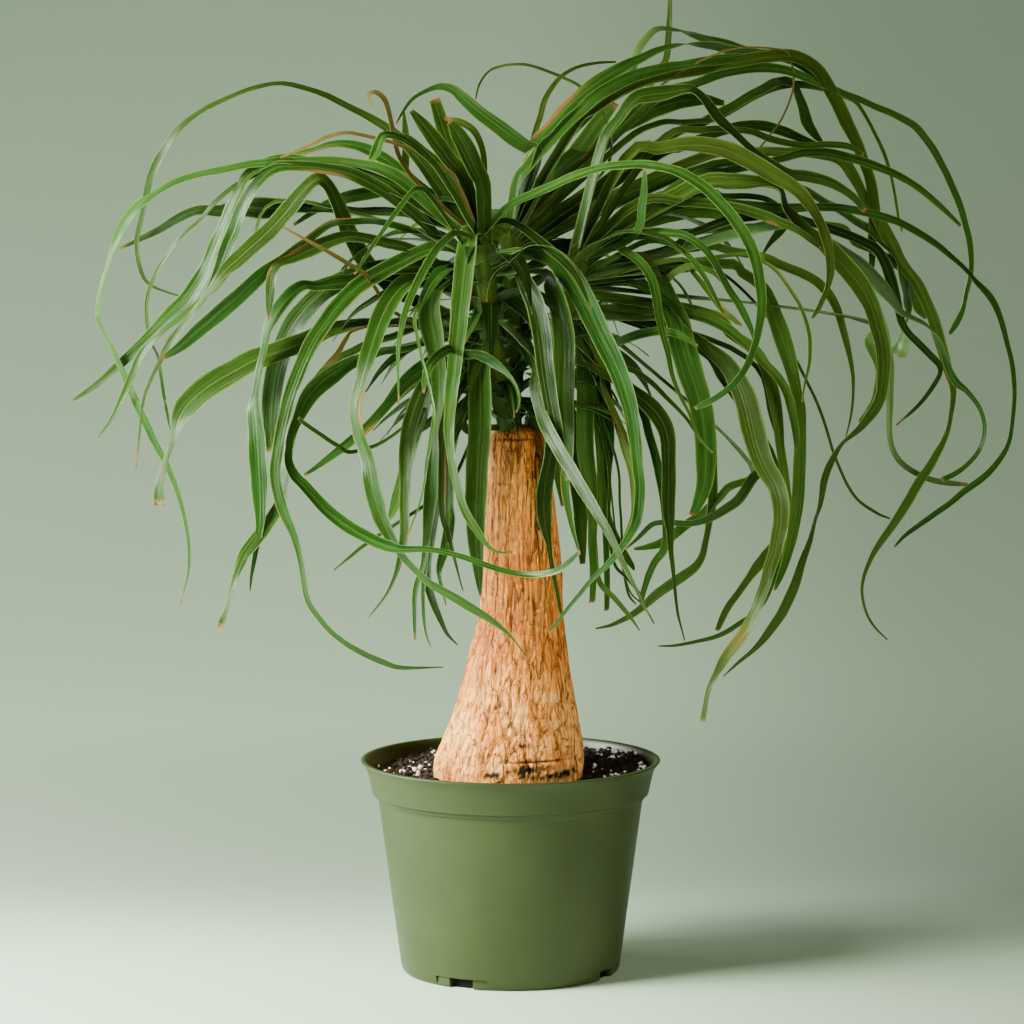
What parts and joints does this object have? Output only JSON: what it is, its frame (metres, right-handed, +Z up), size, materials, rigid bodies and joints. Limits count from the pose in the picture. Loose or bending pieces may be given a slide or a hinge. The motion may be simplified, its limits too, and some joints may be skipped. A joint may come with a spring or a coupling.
{
  "type": "potted ponytail palm",
  "caption": "Ponytail palm with long arching strap leaves on a swollen corky trunk, standing in soil in a round plastic nursery pot.",
  "frame": {"origin": "middle of the pot's flat base", "axes": "+Z up the trunk, -Y towards the viewer, +X to the viewer's right"},
  "size_m": [0.5245, 0.3369, 0.5397],
  "materials": {
    "pot": "satin moulded polypropylene",
    "soil": "loose peat mix",
    "bark": "furrowed corky bark",
    "leaf": "satin leaf"
  },
  "bodies": {
    "root": {"pot": "pot", "soil": "soil", "trunk": "bark", "leafy_head_front": "leaf", "leafy_head_right": "leaf", "leafy_head_back": "leaf"}
  },
  "joints": []
}
